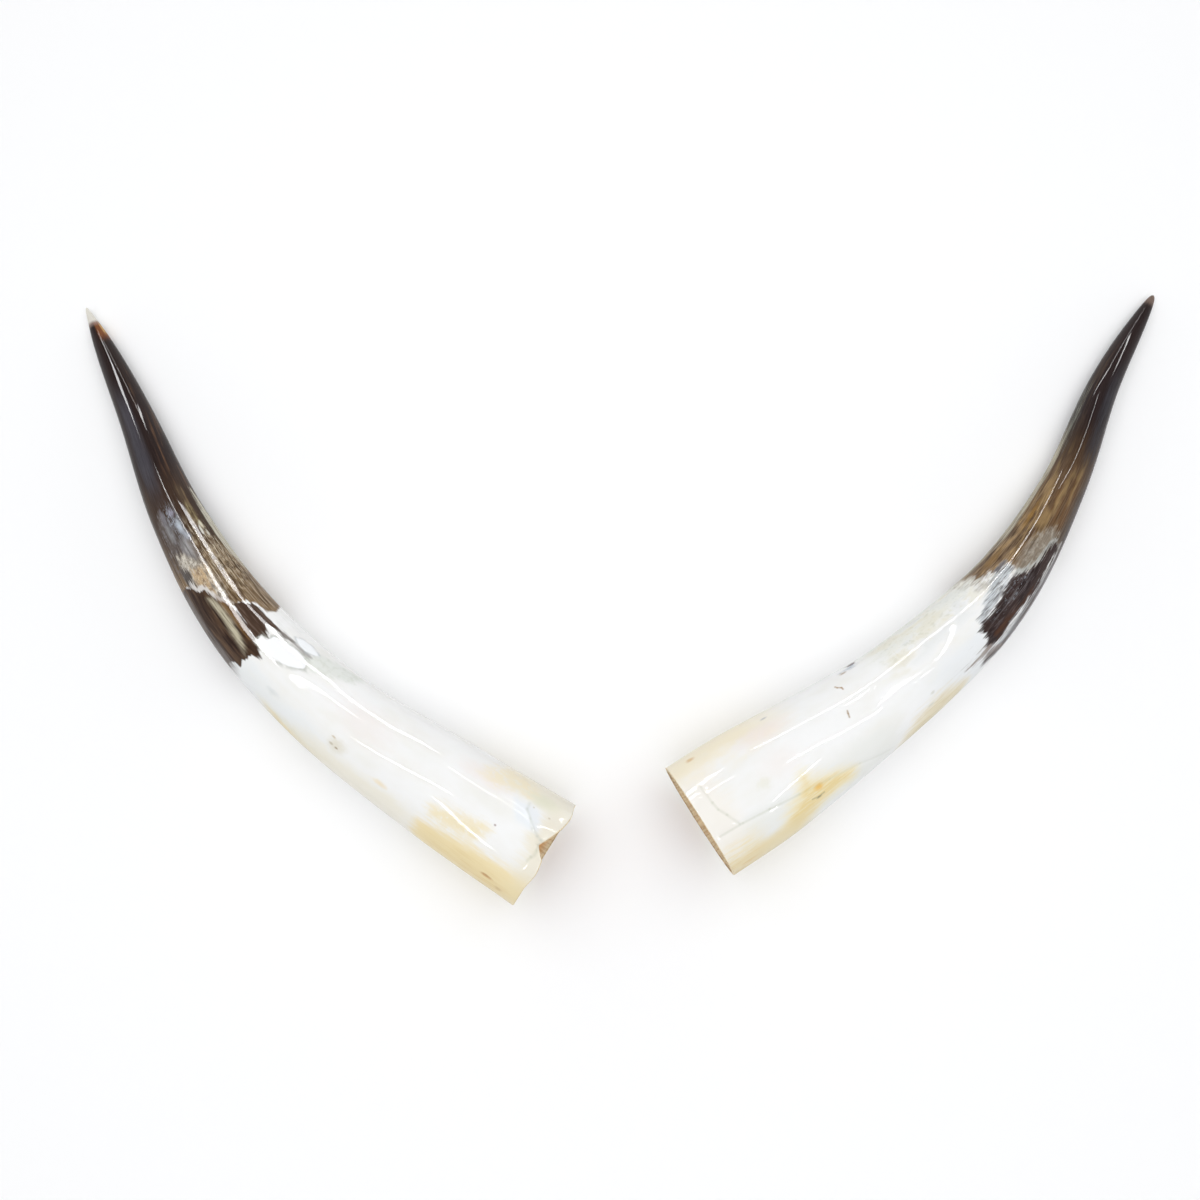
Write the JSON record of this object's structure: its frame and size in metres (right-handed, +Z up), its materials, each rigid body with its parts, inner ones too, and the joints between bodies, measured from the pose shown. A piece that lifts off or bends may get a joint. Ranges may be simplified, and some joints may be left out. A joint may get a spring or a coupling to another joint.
{
  "type": "pair of polished cow horns",
  "caption": "Curved hollow cow horns, polished, cream at the cut base and dark at the pointed tip, lying on their sides as a pair for display, mounting or craft use.",
  "frame": {"origin": "middle of the pair's bounding box in plan, on the surface the horns lie on", "axes": "+Z up from the surface; +X from the left horn's tip to the right horn's tip; +Y from the cut bases towards the tips"},
  "size_m": [1.0644, 0.588, 0.104],
  "materials": {
    "polished_horn": "polished horn: cream-white base with tan stains, streaky brown middle, near-black tip"
  },
  "bodies": {
    "root": {"left_horn": "polished_horn", "right_horn": "polished_horn"}
  },
  "joints": []
}
